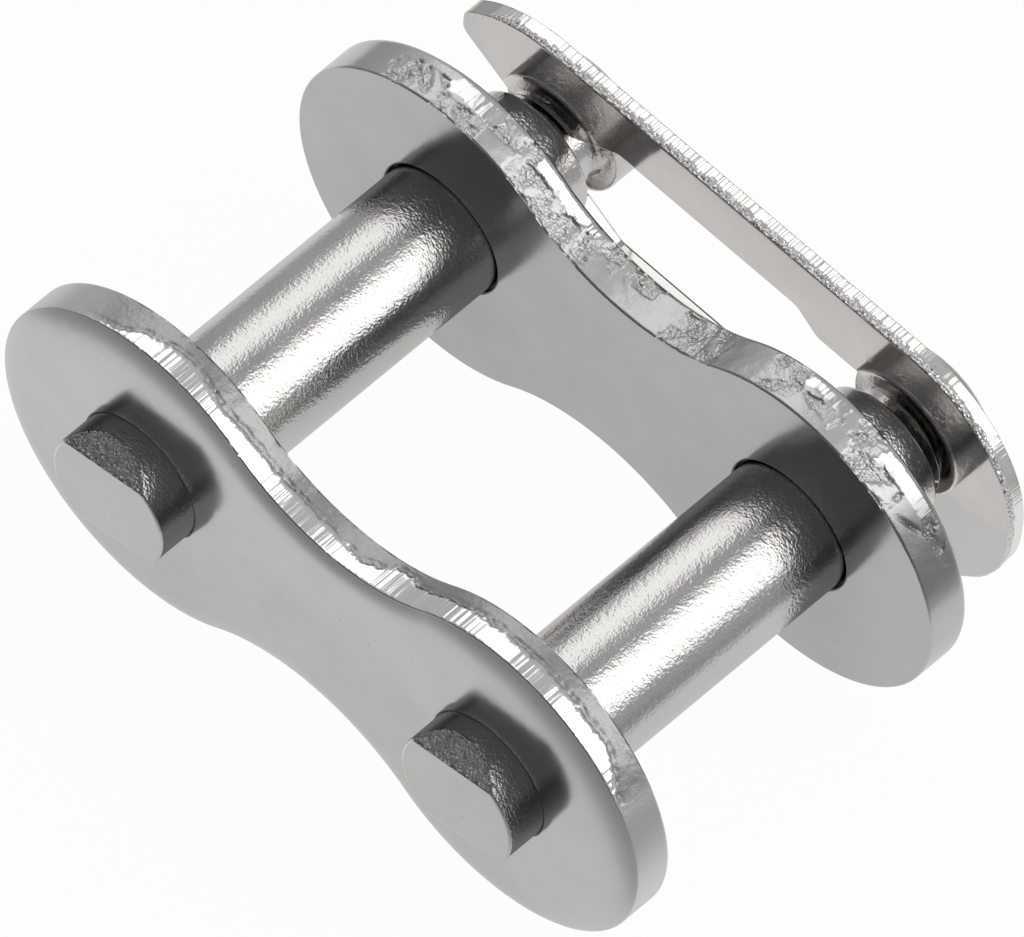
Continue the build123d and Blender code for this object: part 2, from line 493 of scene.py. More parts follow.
def steel(name, colour_value, face, band, break_, peel, pebble):
    """Metal whose faces, sheared bands and torn breaks each keep their own finish.

    face, band and break_ are the roughness of each. Lengths are in millimetres: peel holds the
    grain and the height of each layer of relief on the faces, and pebble is the height of the
    relief in a break.
    """
    material, tree = new_material(name)
    place = add_node(tree, "TexCoord").outputs["Object"]
    drawn_out = add_node(tree, "VectorMath", {"operation": "MULTIPLY", 1: (1, 0.05, 1)}, {0: place})
    torn = add_node(tree, "Attribute", {"attribute_name": "torn_share"}).outputs["Fac"]
    burnish = add_node(tree, "Attribute", {"attribute_name": "burnish_share"}).outputs["Fac"]
    broken = add_node(tree, "Attribute", {"attribute_name": "broken_share"}).outputs["Fac"]
    relief = add_node(tree, "Attribute", {"attribute_name": "relief_share"}).outputs["Fac"]
    ground = add_node(tree, "Attribute", {"attribute_name": "ground_share"}).outputs["Fac"]
    skin = add_node(tree, "Math", {"operation": "SUBTRACT", 0: 1.0}, {1: ground}).outputs["Value"]

    # Clouds in the polish, and dark pinpricks that tumbling left
    clouds = add_node(tree, "TexNoise", {"Scale": 1 / (1.8 * MM), "Detail": 3.0}, {"Vector": place})
    polish = add_node(tree, "MapRange", {"From Min": 0.3, "From Max": 0.7}, {"Value": clouds.outputs["Fac"]})
    specks = add_node(tree, "TexNoise", {"Scale": 1 / (0.15 * MM)}, {"Vector": place})
    pricks = add_node(
        tree, "MapRange", {"From Min": 0.7, "From Max": 0.78, "To Max": 0.3}, {"Value": specks.outputs["Fac"]}
    )
    # Shades of the colour: two for the clouds, a brighter one for burnished bands and for the painted highlight on
    # the pins' rims, a paler one for torn breaks and a grey one for the broken band
    dull, plain, painted_rim_glint_and_burnish, pale, grey = (
        (*(min(channel * shade, 1.0) for channel in colour_value), 1) for shade in (0.93, 1.0, 1.3, 1.15, 0.65)
    )
    tone = add_node(
        tree, "Mix", {"data_type": "RGBA", 6: dull, 7: plain}, {0: polish.outputs["Result"]}
    )
    for shade, share in ((painted_rim_glint_and_burnish, burnish), (pale, torn), (grey, broken)):
        tone = add_node(tree, "Mix", {"data_type": "RGBA", 7: shade}, {0: share, 6: tone.outputs[2]})
    pitted = add_node(
        tree,
        "Mix",
        {"data_type": "RGBA", 7: (0.05, 0.048, 0.045, 1)},
        {0: pricks.outputs["Result"], 6: tone.outputs[2]},
    )

    satin = add_node(
        tree, "MapRange", {"To Min": face - 0.02, "To Max": face + 0.03}, {"Value": polish.outputs["Result"]}
    )
    sheared = add_node(
        tree, "Mix", {"data_type": "FLOAT", 3: band}, {0: burnish, 2: satin.outputs["Result"]}
    )
    rough = add_node(tree, "Mix", {"data_type": "FLOAT", 3: break_}, {0: torn, 2: sheared.outputs[0]})

    layers = [(grain, height, place, skin) for grain, height in peel]
    layers += [(0.09, 0.012, drawn_out.outputs[0], burnish), (0.07, 0.006, place, torn)]
    normal = None
    for grain, height, vector, share in layers:
        cloud = add_node(
            tree, "TexNoise", {"Scale": 1 / (grain * MM), "Detail": 1.0}, {"Vector": vector}
        )
        links = {"Height": cloud.outputs["Fac"], "Strength": share}
        if normal is not None:
            links["Normal"] = normal
        normal = add_node(tree, "Bump", {"Distance": height * MM}, links).outputs["Normal"]
    pebbles = add_node(
        tree, "TexVoronoi", {"Scale": 1 / (0.1 * MM)}, {"Vector": place}
    )
    normal = add_node(
        tree,
        "Bump",
        {"Distance": pebble * MM},
        {"Height": pebbles.outputs["Distance"], "Strength": relief, "Normal": normal},
    )

    shader = add_node(
        tree,
        "BsdfPrincipled",
        {"Metallic": 1.0},
        {"Base Color": pitted.outputs[2], "Roughness": rough.outputs[0], "Normal": normal.outputs["Normal"]},
    )
    add_node(tree, "OutputMaterial", links={"Surface": shader.outputs[0]})
    return material


def plate_steel(colour_value):
    """Rolled strip, blanked and tumbled: satin faces, a bright sheared band, a matt grey break."""
    return steel(
        "rolled steel strip, blanked and tumbled",
        colour_value,
        face=0.17,
        band=0.18,
        break_=0.38,
        peel=((0.7, 0.003), (0.16, 0.0008)),
        pebble=0.025,
    )


def pin_steel(colour_value):
    """Drawn bar, hardened and tumbled: the fine peel of its skin breaks highlights into grains."""
    return steel(
        "drawn steel bar, hardened and tumbled",
        colour_value,
        face=0.2,
        band=0.2,
        break_=0.4,
        peel=((0.3, 0.004), (0.13, 0.008), (0.065, 0.005)),
        pebble=0.07,
    )


def spring_steel(colour_value):
    """Spring strip, blanked and tempered: pale smooth faces and a bright, finely scored edge."""
    return steel(
        "spring steel strip, tempered and polished",
        colour_value,
        face=0.09,
        band=0.16,
        break_=0.3,
        peel=((0.9, 0.001), (0.2, 0.0002)),
        pebble=0.05,
    )


# --- Stage ----------------------------------------------------------------------------------


def from_angles(azimuth, elevation):
    """Unit vector towards an azimuth, counted from the front, and an elevation."""
    return Vector(
        (
            math.cos(elevation) * math.sin(azimuth),
            -math.cos(elevation) * math.cos(azimuth),
            math.sin(elevation),
        )
    )


def aim_at(obj, place, target, roll=0.0):
    """Stands an object at a place with its -Z axis towards a target, then rolls it."""
    turn = (place - target).to_track_quat("Z", "Y").to_matrix().to_4x4()
    obj.matrix_world = Matrix.Translation(place) @ turn @ Matrix.Rotation(roll, 4, "Z")


def add_softbox(name, direction, width, height, radiance, distance):
    """Area light that faces the link from a direction, as bright as its cloth looks."""
    light = bpy.data.lights.new(name, "AREA")
    light.shape = "RECTANGLE"
    light.size = width
    light.size_y = height
    light.energy = radiance * math.pi * width * height
    lamp = bpy.data.objects.new(name, light)
    bpy.context.scene.collection.objects.link(lamp)
    aim_at(lamp, direction.normalized() * distance, Vector((0, 0, 0)))
    return lamp


def acrylic_table(studio):
    """Matt white acrylic, lit from below about the link: white to the eye, with dark beyond it."""
    material, tree = new_material("matt white acrylic, lit from below")
    coords = add_node(tree, "TexCoord")
    from_pool = add_node(
        tree, "VectorMath", {"operation": "SUBTRACT", 1: studio.table_centre}, {0: coords.outputs["Object"]}
    )
    reach = add_node(tree, "VectorMath", {"operation": "LENGTH"}, {0: from_pool.outputs[0]})
    share = add_node(
        tree, "Math", {"operation": "DIVIDE", 1: studio.table_reach}, {0: reach.outputs["Value"]}
    )
    fade = add_node(tree, "ValToRGB", links={"Fac": share.outputs[0]})
    ramp = fade.color_ramp
    ramp.elements[0].position = 0.155
    ramp.elements[0].color = (1, 1, 1, 1)
    ramp.elements[1].position = 1.0
    ramp.elements[1].color = (studio.front_wall, studio.front_wall, studio.front_wall, 1)
    half_near = 0.6 * studio.table_near
    for position, level in ((0.167, 0.92), (0.178, studio.table_near), (0.2, half_near), (0.26, studio.table_far)):
        ramp.elements.new(position).color = (level, level, level, 1)
    path = add_node(tree, "LightPath")
    axes = add_node(tree, "SeparateXYZ", links={"Vector": coords.outputs["Object"]})
    back = add_node(
        tree,
        "MapRange",
        {"From Min": -0.005, "From Max": 0.025, "To Max": studio.table_back},
        {"Value": axes.outputs["Y"]},
    )
    lit = add_node(
        tree, "Math", {"operation": "MAXIMUM"}, {0: fade.outputs["Color"], 1: back.outputs["Result"]}
    )
    white = add_node(
        tree,
        "Mix",
        {"data_type": "RGBA", 7: (1, 1, 1, 1)},
        {"Factor": path.outputs["Is Camera Ray"], 6: lit.outputs[0]},
    )
    # What two surfaces of the link pass on is its own shadow in front of the cover plate, and
    # the lit table behind it
    twice = add_node(tree, "Math", {"operation": "GREATER_THAN", 1: 1.5}, {0: path.outputs["Ray Depth"]})
    behind = add_node(
        tree,
        "MapRange",
        {"From Min": 0.003, "From Max": 0.0045, "To Min": studio.glow_between, "To Max": studio.glow_behind},
        {"Value": axes.outputs["Y"]},
    )
    thrice = add_node(tree, "Math", {"operation": "GREATER_THAN", 1: 2.5}, {0: path.outputs["Ray Depth"]})
    passed_on = add_node(
        tree,
        "Mix",
        {"data_type": "FLOAT", 3: studio.glow_between},
        {0: thrice.outputs[0], 2: behind.outputs["Result"]},
    )
    strength = add_node(
        tree, "Mix", {"data_type": "FLOAT", 2: 1.0}, {0: twice.outputs[0], 3: passed_on.outputs[0]}
    )
    glow = add_node(tree, "Emission", links={"Color": white.outputs[2], "Strength": strength.outputs[0]})
    diffuse = add_node(tree, "BsdfDiffuse", {"Color": (*studio.floor_colour, 1)})
    share_of_glow = add_node(
        tree, "Math", {"operation": "MAXIMUM", 1: studio.glow_to_metal}, {0: twice.outputs[0]}
    )
    to_metal = add_node(
        tree, "Math", {"operation": "MULTIPLY"}, {0: path.outputs["Is Glossy Ray"], 1: share_of_glow.outputs[0]}
    )
    to_viewer = add_node(
        tree,
        "Math",
        {"operation": "MULTIPLY_ADD", 1: studio.glow_to_viewer},
        {0: path.outputs["Is Camera Ray"], 2: to_metal.outputs[0]},
    )
    mix = add_node(
        tree, "MixShader", links={0: to_viewer.outputs[0], 1: diffuse.outputs[0], 2: glow.outputs[0]}
    )
    add_node(tree, "OutputMaterial", links={"Surface": mix.outputs[0]})
    return material


class LINK_OT_stage(bpy.types.Operator):
    """Adds the lit table, the studio's walls, its softboxes and the camera"""

    bl_idname = "link.stage"
    bl_label = "Stage"

    def execute(self, context):
        studio = context.scene.link_studio
        scene = context.scene
        scene.view_settings.view_transform = "Standard"

        camera_data = bpy.data.cameras.new("viewer")
        camera_data.sensor_width = 36.0
        camera_data.lens = studio.lens
        camera = bpy.data.objects.new("viewer", camera_data)
        scene.collection.objects.link(camera)
        aim = Vector(studio.aim)
        place = aim + studio.distance * from_angles(studio.azimuth, studio.elevation)
        aim_at(camera, place, aim, studio.roll)
        scene.camera = camera

        add_softbox(
            "key_softbox", Vector((0.600, 0.424, 0.678)), 0.26, 0.6, studio.key_radiance, studio.light_distance
        )
        add_softbox(
            "fill_softbox", Vector((-0.533, 0.424, 0.732)), 0.2, 0.6, studio.fill_radiance, studio.light_distance
        )

        world = bpy.data.worlds.new("studio_walls")
        scene.world = world
        world.use_nodes = True
        tree = world.node_tree
        tree.nodes.clear()
        coords = add_node(tree, "TexCoord")
        axes = add_node(tree, "SeparateXYZ", links={"Vector": coords.outputs["Generated"]})
        wall = add_node(
            tree,
            "MapRange",
            {
                "interpolation_type": "SMOOTHSTEP",
                "From Min": -0.35,
                "From Max": 0.15,
                "To Min": studio.front_wall,
                "To Max": studio.back_wall,
            },
            {"Value": axes.outputs["Y"]},
        )
        path = add_node(tree, "LightPath")
        seen = add_node(
            tree,
            "Mix",
            {"data_type": "RGBA", 7: (1, 1, 1, 1)},
            {"Factor": path.outputs["Is Camera Ray"], 6: wall.outputs["Result"]},
        )
        background = add_node(tree, "Background", links={"Color": seen.outputs[2]})
        add_node(tree, "OutputWorld", links={"Surface": background.outputs["Background"]})

        bpy.ops.object.select_all(action="DESELECT")
        bpy.ops.mesh.primitive_circle_add(vertices=96, radius=4.0, fill_type="NGON")
        table = context.object
        table.name = "table"
        table.data.materials.append(acrylic_table(studio))
        return {"FINISHED"}


# --- Plates ---------------------------------------------------------------------------------


class Outline:
    """Outline of a plate about the pins' plane: round ends that waist curves run into."""

    def __init__(self, waist):
        self.half_waist = waist / 2
        rise = END_RADIUS - self.half_waist
        self.waist_radius = (RIGHT_X**2 + self.half_waist**2 - END_RADIUS**2) / (2 * rise)
        self.waist_centre = self.half_waist + self.waist_radius
        self.waist_turn = math.pi / 2 - math.atan2(self.waist_centre, RIGHT_X)
        self.end_turn = self.waist_turn + math.pi / 2
        self.touch_x = self.waist_radius * math.sin(self.waist_turn)
        self.waist_length = self.waist_radius * self.waist_turn
        self.quarter = self.waist_length + END_RADIUS * self.end_turn

    def along(self, place):
        """Millimetres round the outline from the middle of its top, positive to the right."""
        x, z = abs(place.x), abs(place.z)
        if x < self.touch_x:
            length = self.waist_radius * math.atan2(x, self.waist_centre - z)
        else:
            turn = self.waist_turn + math.atan2(x - RIGHT_X, z)
            length = self.waist_length + END_RADIUS * turn
        if place.z < 0:
            length = 2 * self.quarter - length
        return math.copysign(length, place.x)

    def outward(self, place):
        """Millimetres that a point lies outside the outline, negative inside."""
        x, z = abs(place.x), abs(place.z)
        if x < self.touch_x:
            return self.waist_radius - math.hypot(x, self.waist_centre - z)
        return math.hypot(x - RIGHT_X, z) - END_RADIUS


def crowned_rim(width, fall, corner, rows=20):
    """Depth and outward place of points from the flat of a face, over its crown, round its rim."""
    points = []
    for row in range(rows):
        share = 1 - (1 - row / rows) ** 1.5
        slump = 0.45 * share**2.2 + 0.55 * share**9
        points.append((fall * slump, (width - corner) * (share - 1) - corner))
    return points + [(fall + depth, outward) for depth, outward in near_rim(corner)]


def near_rim(radius, rows=4):
    """Depth and outward place of points from a near face round its corner."""
    turns = [math.pi / 2 * row / rows for row in range(rows + 1)]
    return [(radius * (1 - math.cos(turn)), radius * (math.sin(turn) - 1)) for turn in turns]


def far_rim(radius, thickness, rows=4):
    """Depth and outward place of points from a wall round its corner to a far face."""
    return [(thickness - depth, outward) for depth, outward in reversed(near_rim(radius, rows))]


def wall(start, end, step):
    """Depth and outward place of points down a wall, without its two ends."""
    rows = max(2, round((end - start) / step))
    return [(start + (end - start) * row / rows, 0.0) for row in range(1, rows)]


def spin_plate_edge(name, near, section, outline, step):
    """Spins a section of depths and outward places round a plate's outline."""
    chain = [(0, near + depth, outline.half_waist + outward) for depth, outward in section]
    piece = draw_chain(name, chain)
    waist_steps = math.ceil(outline.waist_length / step)
    spin_chain(0, outline.waist_centre, -outline.waist_turn, waist_steps)
    spin_chain(RIGHT_X, 0, outline.end_turn, math.ceil(END_RADIUS * outline.end_turn / step))
    bpy.ops.object.mode_set(mode="OBJECT")
    apply_modifier(piece, "MIRROR", use_axis=(True, False, True), merge_threshold=0.004)
    return piece


def spin_hole(centre_x, near, section, radius, steps=180):
    """Spins the wall of a round hole from depths and how far it opens there."""
    points = [(centre_x, near + depth, radius + opening) for depth, opening in section]
    piece = draw_chain("hole", points)
    spin_chain(centre_x, 0, 2 * math.pi, steps)
    merge_doubles()
    bpy.ops.object.mode_set(mode="OBJECT")
    return piece


def draw_flatted_outline(name, centre_x, level, pin):
    """Draws the outline of a pin's flatted end at a place along the pins, all selected."""
    half_flat = pin.flat_width / 2
    corner_x = half_flat + pin.flat_corner
    corner_drop = math.sqrt(PIN_RADIUS**2 - corner_x**2)
    corner_turn = 2 * math.atan2(pin.flat_distance - corner_drop, pin.flat_corner)
    corner_radius = pin.flat_corner / math.sin(corner_turn)
    round_turn = 2 * (math.pi - math.atan2(corner_x, corner_drop))
    turn = Matrix.Rotation(pin.flat_turn, 2)
    axis = Vector((centre_x, 0))

    def turned(x, z):
        return axis + turn @ Vector((x, z))

    pen = Pen(name, level, turned(-half_flat, -pin.flat_distance), pin.step)
    pen.arc(turned(-half_flat, corner_radius - pin.flat_distance), corner_turn)
    pen.arc(axis, round_turn)
    pen.arc(turned(half_flat, corner_radius - pin.flat_distance), corner_turn)
    pen.line_to(turned(-half_flat, -pin.flat_distance))
    merge_doubles()
    return pen.piece


def close_faces(piece, *levels):
    """Fills the flat faces that open rims leave at the given places along the pins."""
    bpy.context.view_layer.objects.active = piece
    bpy.ops.object.mode_set(mode="EDIT")
    for level in levels:
        select_edges(
            piece, lambda edge: edge.is_boundary and all(abs(v.co.y - level) < 0.002 for v in edge.verts)
        )
        bpy.ops.mesh.fill(use_beauty=True)
    bpy.ops.mesh.select_all(action="SELECT")
    bpy.ops.mesh.normals_make_consistent(inside=False)
    bpy.ops.mesh.select_mode(type="VERT")
    bpy.ops.object.mode_set(mode="OBJECT")


# Where the smooth sheared band of the pin plate's edge ends: millimetres round the outline from
# the middle of its top, and millimetres from the outer face. Past it the steel broke away.
PIN_PLATE_BREAK = (
    (-8.4, 0.35), (-7.4, 0.76), (-6.2, 0.94), (-4.6, 0.69), (-3.1, 0.82), (-0.5, 0.87), (0.8, 0.72),
    (1.3, 0.82), (1.8, 1.13), (2.3, 1.09), (2.8, 0.92), (5.5, 0.88), (7.2, 0.84), (10.2, 0.8), (11.6, 0.35),
)  # fmt: skip

# Patches of the cover plate's edge, each from and to a length round the outline and from and to
# a depth: where the shear smoothed it, and where it tore
COVER_SMOOTH = (
    (-7.6, -6.1, 0.62, 1.32), (-4.3, -2.0, 0.86, 1.42), (8.9, 11.0, 0.78, 1.42), (6.0, 7.4, 0.85, 1.42),
)  # fmt: skip
COVER_TORN = (
    (-9.4, -7.5, 0.1, 0.9), (-7.6, -6.0, -0.1, 0.62), (-5.8, -4.5, 0.7, 1.5), (-4.9, -1.7, -0.1, 0.84),
    (-2.3, -0.9, 0.75, 1.5), (-0.6, 0.4, 0.8, 1.5), (1.3, 3.3, -0.1, 1.2), (5.0, 6.1, 0.2, 1.3),
    (6.3, 7.6, 0.45, 0.8), (8.0, 9.2, 0.7, 1.5), (8.2, 10.1, -0.1, 0.74), (11.0, 12.4, 0.8, 1.1),
)  # fmt: skip
CRACK = (10.85, 0.47)  # length and depth of a short crack in the cover plate's edge


def within(patches, length, depth, softness):
    """How far inside any of the patches a place is, from 0 outside to 1, their borders ragged."""
    ragged = 0.16 * ripple(length, 0.3, 3) + 0.1 * ripple(length, 0.1, 5) + 0.2 * ripple(depth, 0.25, length)
    best = 0.0
    for start, end, near, far in patches:
        inside = min(length - start, end - length, depth - near, far - depth) + ragged
        best = max(best, smoothstep(-softness, softness, inside))
    return best


class LINK_OT_pin_plate(bpy.types.Operator):
    """Models the pin plate with its crowned outer face and its sheared edge"""

    bl_idname = "link.pin_plate"
    bl_label = "Pin plate"

    def execute(self, context):
        plate = context.scene.link_plate
        pin = context.scene.link_pin
        outline = Outline(plate.waist)
        near, far = PIN_PLATE_LOW.y, PIN_PLATE_HIGH.y
        thickness = far - near
        section = [
            *crowned_rim(plate.crown_width, plate.crown_depth, plate.rim),
            *wall(plate.crown_depth + plate.rim, thickness - plate.corner, plate.edge_step),
            *far_rim(plate.corner, thickness),
        ]
        piece = spin_plate_edge("pin_plate_blank", near, section, outline, plate.edge_step)
        seats = []
        for centre_x in (LEFT_X, RIGHT_X):
            seat = draw_flatted_outline("seat", centre_x, near, pin)
            bpy.ops.mesh.extrude_region_move(TRANSFORM_OT_translate={"value": (0, thickness, 0)})
            bpy.ops.object.mode_set(mode="OBJECT")
            seats.append(seat)
        join_pieces(piece, seats)
        close_faces(piece, near, far)

        def is_seat_rim(edge):
            """Edges where the outer face meets the wall of a pin's seat."""
            on_face = all(abs(vertex.co.y - near) < 0.002 for vertex in edge.verts)
            return on_face and any(abs(face.normal.y) < 0.1 for face in edge.link_faces)

        bpy.ops.object.mode_set(mode="EDIT")
        select_edges(piece, is_seat_rim)
        bpy.ops.mesh.bevel(offset=plate.seat_rim, segments=3, affect="EDGES", clamp_overlap=False)
        top = near + plate.crown_depth + plate.rim

        def on_wall(rule):
            """The rule on the upper edge, fading out round the ends, and nothing on the faces."""

            def masked(place):
                length = outline.along(place)
                if outline.outward(place) < -0.02 or place.y < top - 0.02:
                    return 0.0
                reach = smoothstep(-10.0, -8.4, length) * smoothstep(12.2, 11.4, length)
                return rule(length, place.y - near) * reach

            return masked

        def dulled(place):
            """The break, and the whole edge round the ends."""
            on_end = smoothstep(-8.4, -10.0, outline.along(place)) + smoothstep(11.4, 12.2, outline.along(place))
            return on_wall(broken)(place) + (on_end if outline.outward(place) > -0.02 else 0.0)

        def broken(length, depth):
            ragged = 0.12 * ripple(length, 0.6, 1) + 0.08 * ripple(length, 0.16, 2)
            return smoothstep(-0.02, 0.02, depth - between(PIN_PLATE_BREAK, length) - ragged)

        def sheared(length, depth):
            return 1 - broken(length, depth)

        def fluted(length, depth):
            cluster = 0.55 + 1.5 * ripple(length, 1.1, 7)
            return sheared(length, depth) * (0.55 + 0.45 * smoothstep(0.2, 0.9, cluster))

        def brink(length, depth):
            gap = depth - between(PIN_PLATE_BREAK, length)
            return smoothstep(0.16, 0.04, abs(gap - 0.04))

        weigh(
            piece,
            torn=dulled,
            broken=on_wall(broken),
            burnish=on_wall(sheared),
            flutes=on_wall(fluted),
            brink=on_wall(brink),
        )
        set_in(piece, "broken", 0.03)
        set_in(piece, "brink", 0.018)
        roughen(piece, "flutes", 0.12, 0.045, stretch=30)
        roughen(piece, "burnish", 0.9, 0.014, stretch=3)
        roughen(piece, "broken", 0.6, 0.035)
        roughen(piece, "broken", 0.14, 0.012)
        roughen(piece, "brink", 0.14, 0.06, noise_depth=2)
        finish_piece(piece, "pin_plate", "pin_link")
        # A lighter steel colour than the cover plate's: painted light on the pin plate
        piece.data.materials.append(plate_steel(context.scene.link_finish.plate_steel))
        return {"FINISHED"}


class LINK_OT_cover_plate(bpy.types.Operator):
    """Models the cover plate with its torn edge and lipped holes"""

    bl_idname = "link.cover_plate"
    bl_label = "Cover plate"

    def execute(self, context):
        plate = context.scene.link_plate
        outline = Outline(plate.waist)
        near, far = COVER_LOW.y, COVER_HIGH.y
        thickness = far - near
        section = [
            *near_rim(plate.corner),
            *wall(plate.corner, thickness - plate.roll, plate.edge_step),
            *far_rim(plate.roll, thickness, 7),
        ]
        piece = spin_plate_edge("cover_plate_blank", near, section, outline, plate.edge_step)
        lip = [(depth, -outward) for depth, outward in near_rim(plate.lip, 6)]
        hole_section = [*lip, (thickness, 0)]
        hole_radius = PIN_RADIUS + plate.clearance
        holes = [spin_hole(centre_x, near, hole_section, hole_radius) for centre_x in (LEFT_X, RIGHT_X)]
        join_pieces(piece, holes)
        close_faces(piece, near, far)

        def on_wall(rule):
            """The rule on the upper edge, fading out round the ends, and nothing on the faces."""

            def masked(place):
                length = outline.along(place)
                if outline.outward(place) < -0.03:
                    return 0.0
                reach = smoothstep(-10.4, -9.2, length) * smoothstep(14.0, 12.6, length)
                return rule(length, place.y - near) * reach

            return masked

        def smooth(length, depth):
            return within(COVER_SMOOTH, length, depth, 0.02)

        def torn(length, depth):
            patchy = smoothstep(-0.35, 0.15, ripple(length, 0.5, 9, depth))
            return within(COVER_TORN, length, depth, 0.04) * (1 - smooth(length, depth)) * (0.25 + 0.75 * patchy)

        def satin(length, depth):
            return 1 - smooth(length, depth)

        def crack(length, depth):
            off_length = (length - CRACK[0]) / 0.3
            off_depth = (depth - CRACK[1] - (length - CRACK[0]) * 0.5) / 0.06
            return math.exp(-(off_length**2) - off_depth**2)

        # The edge turns darker grey round the right end, fading in from 9.8 to 10.8 mm round the outline
        def darker_round_right_end(length, depth):
            return smoothstep(9.8, 10.8, length)

        weigh(
            piece,
            torn=on_wall(satin),
            broken=on_wall(darker_round_right_end),
            burnish=on_wall(smooth),
            relief=on_wall(torn),
            crack=on_wall(crack),
        )
        set_in(piece, "relief", 0.03)
        set_in(piece, "crack", 0.09)
        roughen(piece, "burnish", 0.2, 0.03, stretch=3)
        roughen(piece, "torn", 0.7, 0.04)
        roughen(piece, "relief", 0.35, 0.08, noise_type="HARD_NOISE")
        roughen(piece, "relief", 0.13, 0.05)
        finish_piece(piece, "cover_plate", "cover")
        # A darker steel colour than the pin plate's: painted shade between the plates
        piece.data.materials.append(plate_steel(context.scene.link_finish.shaded_cover_steel))
        return {"FINISHED"}


# --- Pins -----------------------------------------------------------------------------------


def spin_pin_body(centre_x, pin):
    """Spins the round length of a pin: shank, groove and head, open where the flatted end joins."""
    groove_radius = pin.groove_diameter / 2
    groove_front = PIN_PLATE_LOW.y + pin.shank
    groove_back = groove_front + pin.groove_width
    shoulder = pin.shoulder
    head = pin.head_corner
    points = [(PIN_PLATE_HIGH.y, PIN_RADIUS), (PIN_PLATE_HIGH.y + pin.step, PIN_RADIUS)]
    points += [(groove_front - shoulder - pin.step, PIN_RADIUS)]
    points += [(groove_front - shoulder + depth, PIN_RADIUS + outward) for depth, outward in far_rim(shoulder, shoulder)]
    points += [(groove_front, groove_radius + 0.08), (groove_front + 0.08, groove_radius)]
    points += [(groove_back - 0.08, groove_radius), (groove_back, groove_radius + 0.08)]
    points += [(groove_back + depth, PIN_RADIUS + outward) for depth, outward in near_rim(shoulder)]
    points += [(PIN_BACK - head + depth, PIN_RADIUS + outward) for depth, outward in far_rim(head, head, 6)]
    piece = draw_chain("pin_body", [(centre_x, level, radius) for level, radius in points])
    spin_chain(centre_x, 0, 2 * math.pi, 180)
    merge_doubles()
    select_edges(piece, lambda edge: edge.is_boundary and edge.verts[0].co.y > PIN_BACK - 0.002)
    bpy.ops.mesh.edge_face_add()
    bpy.ops.object.mode_set(mode="OBJECT")
    return piece


